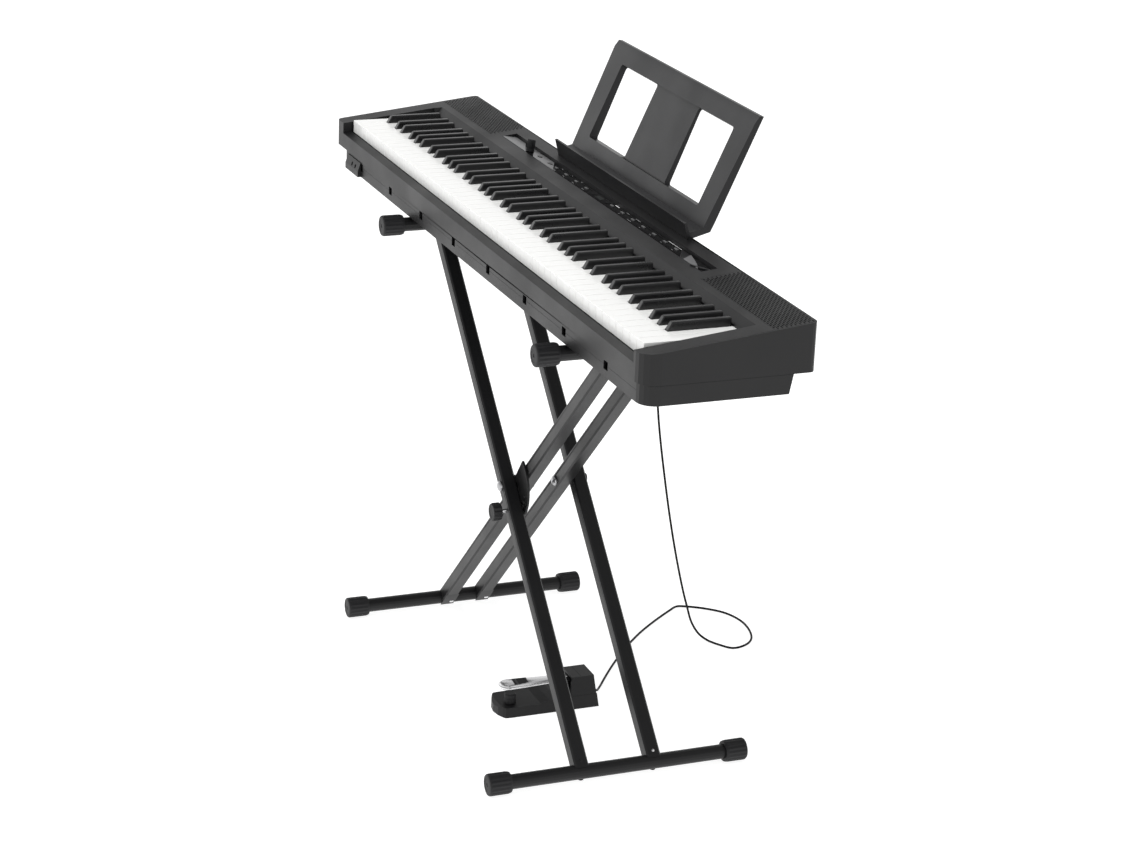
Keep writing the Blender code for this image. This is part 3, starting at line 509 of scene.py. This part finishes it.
# pale floor on both sides of the volume knob, with holes for the two oval buttons
bm = bmesh.new()
add_prism(bm, [(-392.0, 0.6), (-291.5, 0.6), (-350.0, 24.3), (-392.0, 24.3)], -0.1, 0.7,
          floor_place)
shown(bm, "pale_floor_left", PALE, "instrument", bevel=0.25)
bm = bmesh.new()
add_prism(bm, [(-258.0, 0.6), (-172.5, 0.6), (-225.5, 24.3), (-312.0, 24.3)], -0.1, 0.7,
          floor_place)
pale = shown(bm, "pale_floor_right", PALE, "instrument", smooth=False)
holes = []
for middle in (-259.0, -215.0):
    bm = bmesh.new()
    add_prism(bm, oval(middle, 6.9, 3.7), -1.0, 2.0, floor_place)
    holes.append(helper(bm, "hole"))
cut(pale, holes)

# plain bars where the panel has its lettering
bm = bmesh.new()
for middle, s_mid, long in ((-176, 4.4, 8), (-137, 4.4, 8), (-99, 4.6, 8), (-61, 5.4, 9), (80, 5.2, 5),
                            (118, 5.6, 14), (157, 5.8, 4), (195, 5.8, 6), (234, 5.8, 5), (273, 5.8, 5)):
    add_prism(bm, bar(middle, s_mid, long, 1.0), -0.1, -0.02, floor_place)
for middle, long in ((-186, 6), (-144, 3), (-106, 7), (76, 10), (114, 17)):
    add_prism(bm, bar(middle, 22.6, long, 1.2), -0.1, -0.02, floor_place)
shown(bm, "legends", LEGEND, "instrument", smooth=False)
bm = bmesh.new()
add_prism(bm, bar(36.0, 22.4, 15.0, 2.2), -0.1, 0.05, floor_place)
add_prism(bm, bar(251.0, 22.6, 54.0, 1.1), -0.1, 0.05, floor_place)
shown(bm, "white_marks", MARK, "instrument", smooth=False)

# treble end of the recess: a grey facet, a pale wedge and a rounded step
bm = bmesh.new()
add_prism(bm, [(312.0, 0.6), (324.0, 0.6), (298.0, 24.2), (268.0, 24.2)], -0.1, 0.3, floor_place)
shown(bm, "grey_facet", REST, "instrument", bevel=0.2)
bm = bmesh.new()
add_prism(bm, [(324.4, 0.6), (373.0, 0.6), (350.0, 10.0), (322.0, 18.0), (299.0, 24.0)], -0.1, 1.2,
          floor_place)
shown(bm, "pale_wedge", PALE, "instrument", bevel=0.3)
bm = bmesh.new()
add_prism(bm, arc(352.0, 24.2, 27.0, -90, -20, 10) + [(385.0, 16.0), (385.0, 24.2), (381.0, 24.2)],
          -0.1, 1.6, floor_place)
shown(bm, "dark_step", CASE, "instrument", bevel=0.5)
# rear wall of the recess, and the display
bm = bmesh.new()
add_prism(bm, [(205.2, deck(205.2) - 8.2), (206.8, deck(206.8) - 8.2), (206.8, deck(206.8) - 3.2),
               (205.2, deck(205.2) - 3.2)], -393.0, 386.0, along_x)
shown(bm, "recess_wall", CASE, "instrument", smooth=False)

bm = bmesh.new()
add_prism(bm, [(-29.7, 7.3), (9.7, 7.3), (9.7, 19.2), (-29.7, 19.2)], -3.5, -0.4, floor_place, 0)
add_prism(bm, [(-18.5, 7.5), (4.5, 7.5), (-5.5, 19.1), (-28.0, 19.1)], -0.4, -0.1, floor_place, 1)
shown(bm, "lcd_glass", [GLOSS, SCREEN], "instrument", ["lcd_display"], smooth=False)

# button banks: key tops on one hidden bar
LEFT_BUTTONS = [-191.0, -150.0, -109.0, -68.0]
RIGHT_BUTTONS = [34.0 + 39.2 * n for n in range(7)]
for node, left, right, middles in (("button_bank_left", -201.7, -54.3, LEFT_BUTTONS),
                                   ("button_bank_right", 21.3, 282.7, RIGHT_BUTTONS)):
    bm = bmesh.new()
    add_prism(bm, [(left, 7.3), (right, 7.3), (right, 19.2), (left, 19.2)], -3.0, -0.6, floor_place, 1)
    for middle in middles:
        add_prism(bm, bar(middle, 14.6, 10.4, 3.6, 0.1), -0.7, 0.9, floor_place, 0)
    shown(bm, node + "_skin", [BUTTON, GLOSS], node, [node], bevel=0.35)

bm = bmesh.new()
profile = [(0.0, -4.0), (3.2, -4.0), (3.2, 0.6), (6.0, 0.6), (6.8, 1.0), (6.8, 5.2), (6.4, 5.4), (6.4, 6.0),
           (6.75, 6.2), (6.6, 17.8), (6.2, 19.0), (5.3, 19.5), (0.0, 19.5)]
add_turned(bm, profile, 72, lambda a, b, c: floor_place(KNOB_X + a, KNOB_S + b, c), 18, 0.45, (8, 9))
shown(bm, "volume_knob_skin", RUBBER, "volume_knob", ["volume_knob"])

# ---------------------------------------------------------------- grilles
GRILLE_X = (412.8, 646.2)
GRILLE_Y = (167.7, 226.9)
GRILLE_THICK = 1.2
ROWS, ROW_PITCH, ROW_HALF = 18, 3.2, 0.85
SLOTS, SLOT_PITCH, SLOT_HALF = 25, 9.06, 3.3


def grille(name, node, side):
    """Thin plate with rows of fine moulded slots, every other row shifted by half a slot."""
    xs = set(GRILLE_X)
    ys = set(GRILLE_Y)
    slots = []
    for row in range(ROWS):
        y = 170.2 + ROW_PITCH * row
        ys |= {y - ROW_HALF, y + ROW_HALF}
        for n in range(SLOTS):
            x = 418.6 + SLOT_PITCH * (n + 0.5 * (row % 2))
            xs |= {x - SLOT_HALF, x + SLOT_HALF}
            slots.append((x, y))
    xs = sorted(xs)
    ys = sorted(ys)
    open_cells = set()
    for x, y in slots:
        for j in range(len(ys) - 1):
            if abs((ys[j] + ys[j + 1]) / 2 - y) >= 0.8:
                continue
            for i in range(len(xs) - 1):
                if abs((xs[i] + xs[i + 1]) / 2 - x) < SLOT_HALF:
                    open_cells.add((i, j))
    bm = bmesh.new()
    made = {}

    def corner(i, j, k):
        """Corner i, j of the grid, on the underside (k = 0) or the top (k = 1)."""
        if (i, j, k) not in made:
            height = deck(ys[j]) - (GRILLE_THICK if k == 0 else 0.0)
            made[(i, j, k)] = bm.verts.new(metres(side * xs[i], ys[j], height))
        return made[(i, j, k)]

    def solid(i, j):
        """Whether the grid's cell i, j is plastic."""
        return 0 <= i < len(xs) - 1 and 0 <= j < len(ys) - 1 and (i, j) not in open_cells

    def face(*spots):
        """One face through grid corners."""
        bm.faces.new([corner(*spot) for spot in spots])

    for i in range(len(xs) - 1):
        for j in range(len(ys) - 1):
            if not solid(i, j):
                continue
            face((i, j, 1), (i + 1, j, 1), (i + 1, j + 1, 1), (i, j + 1, 1))
            face((i, j, 0), (i, j + 1, 0), (i + 1, j + 1, 0), (i + 1, j, 0))
            if not solid(i - 1, j):
                face((i, j, 0), (i, j, 1), (i, j + 1, 1), (i, j + 1, 0))
            if not solid(i + 1, j):
                face((i + 1, j, 0), (i + 1, j + 1, 0), (i + 1, j + 1, 1), (i + 1, j, 1))
            if not solid(i, j - 1):
                face((i, j, 0), (i + 1, j, 0), (i + 1, j, 1), (i, j, 1))
            if not solid(i, j + 1):
                face((i, j + 1, 0), (i, j + 1, 1), (i + 1, j + 1, 1), (i + 1, j + 1, 0))
    return shown(bm, name, CASE, "instrument", [node], smooth=False)


grille("grille_bass", "grille_left", -1)
grille("grille_treble", "grille_right", 1)

# ---------------------------------------------------------------- music rest
REST_T = Vector((0.0, 0.4106, 0.9118))
REST_N = Vector((0.0, -0.9118, 0.4106))
PLATE_FOOT = (243.0, 783.9)
REST_HALF = 248.5
WIDER_AT_TOP = 0.036


def rest_place(x, t, n):
    """x, distance up the rest's plane, distance out of its front; from the plate's foot."""
    return metres(x, PLATE_FOOT[0] + REST_T.y * t + REST_N.y * n, PLATE_FOOT[1] + REST_T.z * t + REST_N.z * n)


bm = bmesh.new()
profile = [(214.0, 793.6), (219.7, deck(219.7) + 0.3), (229.4, deck(229.4) + 0.3), (255.3, 778.0),
           (262.0, 793.0), (324.2, 944.0), (318.3, 944.9), (311.4, 935.8), (243.0, 783.9),
           (223.0, 779.4), (217.6, 793.9)]
add_prism(bm, profile, -REST_HALF, REST_HALF, along_x)
for vert in bm.verts:
    vert.co.x *= 1.0 + WIDER_AT_TOP * min(1.0, max(0.0, (vert.co.z * 1000.0 - 772.0) / 160.0))
rest = shown(bm, "music_rest_skin", [REST, CASE_DARK_AND_SHADE], "music_rest", ["music_rest"],
             smooth=False)
# two see-through windows, whose inner walls carry the dark case colour as painted shade, and the shallow
# panel between them
windows = []
for low_x, high_x in ((-206.0, -75.0), (75.0, 206.0)):
    bm = bmesh.new()
    rings = []
    for n, shrink in ((2.0, 0.0), (0.0, 0.0), (-34.0, 5.0)):
        rings.append([rest_place(a, b, n) for a, b in
                      rounded(low_x + shrink, 24.0 + shrink, high_x - shrink, 147.0 - shrink, 5.0)])
    # painted shade: the window walls take material 1, the dark case colour, instead of the rest plastic
    add_loft(bm, rings, 1)
    windows.append(helper(bm, "window"))
bm = bmesh.new()
add_prism(bm, rounded(-79.0, 24.0, 79.0, 147.0, 1.0, 1), -5.0, 2.0, rest_place)
windows.append(helper(bm, "panel"))
for other in windows:
    other.data.materials.append(REST)
    other.data.materials.append(CASE_DARK_AND_SHADE)
cut(rest, windows)
polish(rest, 0.7, 3, 28.0)
# tabs that hold the rest in the case
bm = bmesh.new()
for side in (-1, 1):
    rings = []
    for t in (-8.0, 3.0):
        rings.append([metres(side * 150.0 + a, 224.2 + REST_T.y * t + REST_N.y * b,
                             772.0 + REST_T.z * t + REST_N.z * b)
                      for a, b in ((-7.0, -2.0), (7.0, -2.0), (7.0, 2.0), (-7.0, 2.0))])
    add_loft(bm, rings)
shown(bm, "rest_tabs", REST, "music_rest", bevel=0.4)

# ---------------------------------------------------------------- stand
PIVOT_X, PIVOT_Z = 36.9, 337.25
BASS_X, TREBLE_X = PIVOT_X - 330.9, PIVOT_X + 330.9
FOOT_Z, ARM_Z = 16.2, 658.2
LEG_ANGLE = math.atan2(ARM_Z - PIVOT_Z, 330.9)
LEG_WIDTH = 22.0
A_LEGS_Y = (32.1, 145.4)
B_LEGS_Y = (59.0, 119.8)
for node in ("a_tube_front", "a_tube_rear", "b_tube_front", "b_tube_rear"):
    dress(node, PAINT, 0.7, 3)
for node in ("treble_foot", "bass_foot", "bass_arm", "treble_arm", "lock_plate"):
    dress(node, PAINT, 0.4, 2)


def end_cap(node, body, x, z, face, inward, flat):
    """A ribbed rubber end cap with a ring and a dimple on its end, flat where it stands or carries."""
    bm = bmesh.new()
    profile = [(0.0, 1.2), (2.6, 1.2), (3.2, 0.5), (9.6, 0.5), (10.1, 0.1), (13.6, 0.1), (15.2, 0.7),
               (16.2, 2.2), (16.5, 4.0), (16.4, 29.5), (16.0, 31.5), (15.2, 34.3), (11.3, 34.3),
               (11.3, 5.8), (0.0, 5.8)]
    add_turned(bm, [(r, face + inward * along) for r, along in profile], 128,
               lambda a, b, c: metres(x + a, c, z + b), 16, 1.1, (8, 9), flat)
    return shown(bm, node + "_skin", RUBBER, body, [node])


for word, body, x, z, ends, flat in (
        ("treble_foot", "leg_set_a", TREBLE_X, FOOT_Z, (-101.5, 303.2), -16.2),
        ("bass_foot", "leg_set_b", BASS_X, FOOT_Z, (-101.5, 303.2), -16.2),
        ("bass_arm", "leg_set_a", BASS_X, ARM_Z, (-54.5, 252.5), 16.25),
        ("treble_arm", "leg_set_b", TREBLE_X, ARM_Z, (-54.5, 252.5), 16.25)):
    end_cap(word + "_cap_front", body, x, z, ends[0], 1, flat)
    end_cap(word + "_cap_rear", body, x, z, ends[1], -1, flat)


def leg_spot(along, out, y):
    """A point by a B leg's lower right side: distance up from the foot, distance out, y."""
    return metres(BASS_X + along * math.cos(LEG_ANGLE) + out * math.sin(LEG_ANGLE), y,
                  FOOT_Z + along * math.sin(LEG_ANGLE) - out * math.cos(LEG_ANGLE))


bm = bmesh.new()
screws = bmesh.new()
for y in B_LEGS_Y:
    add_prism(bm, [(34.0, 10.9), (20.0, 11.9), (-6.0, 11.9), (-6.0, 11.1), (0.0, 11.05), (12.0, 10.9)],
              y, y + LEG_WIDTH, leg_spot)
    add_turned(screws, [(0.0, 13.6), (2.0, 13.4), (3.6, 12.6), (3.8, 11.8), (0.0, 11.8)], 24,
               lambda a, b, c: leg_spot(5.5 + b * 0.8, c, y + 16.0 + a))
shown(bm, "foot_flaps", PAINT, "leg_set_b", bevel=0.2)
shown(screws, "flap_screws", CHROME, "leg_set_b")


def screw_spot(a, b, c):
    """A point by an A leg's upper right side: along the leg, across it (y), out of it."""
    return metres(TREBLE_X - (13.0 + a) * math.cos(LEG_ANGLE) + c * math.sin(LEG_ANGLE), b,
                  FOOT_Z + (13.0 + a) * math.sin(LEG_ANGLE) + c * math.cos(LEG_ANGLE))


bm = bmesh.new()
for number, y in enumerate(A_LEGS_Y):
    add_turned(bm, [(0.0, 12.2), (1.3, 12.0), (2.0, 11.5), (2.0, 10.9), (0.0, 10.9)], 18,
               lambda a, b, c: screw_spot(a, y + LEG_WIDTH / 2 + b, c), which=number)
shown(bm, "leg_screws", [PAINT, CHROME], "leg_set_a")
bm = bmesh.new()
for y in A_LEGS_Y:
    add_turned(bm, [(0.0, -13.2), (2.6, -13.0), (4.2, -12.0), (4.2, -10.6), (0.0, -10.6)], 18,
               lambda a, b, c: metres(TREBLE_X + a, y + LEG_WIDTH / 2 + b, FOOT_Z + c))
shown(bm, "foot_bolts", PAINT, "leg_set_a")


def bolt(node, start, stop):
    """Domed steel bolt with its painted nut, through one pair of legs."""
    bm = bmesh.new()
    dome = [(8.0 * math.sin(math.radians(t)), start - 5.4 + 4.4 * (1 - math.cos(math.radians(t))))
            for t in range(0, 91, 15)]
    profile = dome + [(8.0, start - 0.3), (0.0, start - 0.3)]
    add_turned(bm, profile, 36, lambda a, b, c: metres(PIVOT_X + a, c, PIVOT_Z + b))
    nut = [(0.0, start - 0.3), (4.0, start - 0.3), (4.0, stop + 0.3), (6.6, stop + 0.3), (6.6, stop + 2.8),
           (5.8, stop + 3.2), (0.0, stop + 3.2)]
    add_turned(bm, nut, 36, lambda a, b, c: metres(PIVOT_X + a, c, PIVOT_Z + b), which=1)
    return shown(bm, node + "_skin", [STEEL, PAINT], "leg_set_a", [node])


bolt("pivot_bolt_front", 32.1, 81.0)
bolt("pivot_bolt_rear", 119.8, 167.4)
# the knob sits on the A leg, below the pivot
LOCK_REACH = 41.0
lock_x = PIVOT_X + LOCK_REACH * math.cos(LEG_ANGLE)
lock_z = PIVOT_Z - LOCK_REACH * math.sin(LEG_ANGLE)


def knob_place(a, b, c):
    """A point about the lock knob's axis."""
    return metres(lock_x + a, c, lock_z + b)


bm = bmesh.new()
add_turned(bm, [(0.0, 7.6), (8.6, 7.6), (9.2, 7.1), (12.4, 7.1), (13.6, 8.2), (13.9, 9.6), (13.9, 19.0),
                (13.2, 20.4), (11.8, 21.1), (3.2, 21.1), (0.0, 21.1)], 120, knob_place, 12, 1.5, (4, 5, 6, 7))
add_turned(bm, [(0.0, 21.0), (3.0, 21.0), (3.0, 54.2), (2.2, 55.1), (0.0, 55.1)], 24, knob_place, which=1)
shown(bm, "lock_knob_skin", [RUBBER, CHROME], "lock_knob", ["lock_knob"])

# ---------------------------------------------------------------- pedal
dress("pedal_base", PEDAL, 1.4, 3)
dress("pedal_housing", PEDAL, 1.6, 3)
bm = bmesh.new()
add_prism(bm, [(133.6, 54.0), (134.3, 54.0), (134.3, 54.06), (133.6, 54.06)], 102.0, 137.6, along_x)
shown(bm, "housing_seam", CASE_DARK_AND_SHADE, "instrument", smooth=False)
bm = bmesh.new()
add_turned(bm, [(0.0, 17.3), (9.0, 17.3), (9.0, 25.0), (8.4, 25.3), (8.4, 26.0), (9.0, 26.3), (9.0, 30.8),
                (7.6, 32.4), (0.0, 32.4)], 44, lambda a, b, c: metres(120.0 + a, 26.5 + b, c))
shown(bm, "pedal_stop_skin", RUBBER, "instrument", ["pedal_stop"])
LEVER_MID = 119.4


def lever_ring(inset, z):
    """Outline of the lever seen from above, drawn in by inset: a round toe, then a narrowing bar."""
    turns = [math.radians(t) for t in range(180, 361, 9)]
    plan = [(LEVER_MID + (15.0 - inset) * math.cos(turn), 22.0 + (14.0 - inset) * math.sin(turn))
            for turn in turns]
    sides = [(13.8, 45.0), (12.2, 65.0), (10.8, 85.0), (10.7, 112.0), (10.6, 149.8)]
    for half, y in sides + [(-half, y) for half, y in reversed(sides)]:
        plan.append((LEVER_MID + half - math.copysign(inset, half), y - (inset if y > 149 else 0.0)))
    return [metres(a, b, z) for a, b in plan]


bm = bmesh.new()
add_loft(bm, [lever_ring(3.2, 43.1), lever_ring(1.0, 43.5), lever_ring(0.0, 44.6), lever_ring(0.0, 46.2),
              lever_ring(0.5, 47.0), lever_ring(1.6, 47.4), lever_ring(2.0, 48.6), lever_ring(2.8, 49.6),
              lever_ring(4.2, 49.95)])
# painted shade: the chrome lever's end inside the housing gets the dark case colour, standing in for the
# housing's shadow
for face in bm.faces:
    if face.calc_center_median().y * 1000.0 - Y_SHIFT > 118.0:
        face.material_index = 1
shown(bm, "pedal_lever_skin", [CHROME, CASE_DARK_AND_SHADE], "pedal_lever", ["pedal_lever"])
bm = bmesh.new()
add_prism(bm, [(108.4, 31.6), (130.4, 30.0), (127.9, 52.3), (109.8, 55.0)], 49.9, 50.0, along_z, 0)
add_prism(bm, [(109.0, 35.0), (130.0, 33.6), (129.5, 37.0), (109.2, 38.6)], 50.0, 50.05, along_z, 1)
shown(bm, "lever_pad", [CASE_DARK_AND_SHADE, CASE], "pedal_lever", smooth=False)

# ---------------------------------------------------------------- floor, light
floor_mesh = bpy.data.meshes.new("floor")
floor_mesh.from_pydata([(-30, -30, 0), (30, -30, 0), (30, 30, 0), (-30, 30, 0)], [], [(0, 1, 2, 3)])
floor = bpy.data.objects.new("floor", floor_mesh)
bpy.context.scene.collection.objects.link(floor)
floor_look = bpy.data.materials.new("floor")
floor_look.use_nodes = True
shader = floor_look.node_tree.nodes["Principled BSDF"]
shader.inputs["Base Color"].default_value = (0.50, 0.50, 0.50, 1)
shader.inputs["Roughness"].default_value = 0.9
shader.inputs["Specular IOR Level"].default_value = 0.1
shader.inputs["Emission Color"].default_value = (1, 1, 1, 1)
shader.inputs["Emission Strength"].default_value = 0.86
floor_mesh.materials.append(floor_look)

world = bpy.data.worlds.new("studio")
bpy.context.scene.world = world
world.use_nodes = True
tree = world.node_tree
background = tree.nodes["Background"]
place = tree.nodes.new("ShaderNodeTexCoord")
split = tree.nodes.new("ShaderNodeSeparateXYZ")
ramp = tree.nodes.new("ShaderNodeValToRGB")
ramp.color_ramp.elements[0].position = 0.0
ramp.color_ramp.elements[0].color = (1.0, 1.0, 1.0, 1)
ramp.color_ramp.elements[1].position = 0.75
ramp.color_ramp.elements[1].color = (0.36, 0.36, 0.36, 1)
tree.links.new(place.outputs["Generated"], split.inputs["Vector"])
tree.links.new(split.outputs["Z"], ramp.inputs["Fac"])
tree.links.new(ramp.outputs["Color"], background.inputs["Color"])
background.inputs["Strength"].default_value = 1.12


def lamp(name, spot, target, size, power, glossy):
    """A soft area lamp aimed at a point."""
    data = bpy.data.lights.new(name, "AREA")
    data.shape = "DISK"
    data.size = size
    data.energy = power
    body = bpy.data.objects.new(name, data)
    body.location = spot
    body.rotation_euler = (Vector(target) - Vector(spot)).to_track_quat("-Z", "Y").to_euler()
    body.visible_glossy = glossy
    bpy.context.scene.collection.objects.link(body)


lamp("top_light", (0.3, -0.7, 4.4), (0.0, 0.0, 0.7), 3.0, 100.0, False)
lamp("front_box", (-5.6, -2.3, 2.1), (0.0, 0.0, 0.8), 2.6, 12.0, True)
bpy.context.scene.view_settings.view_transform = "Standard"
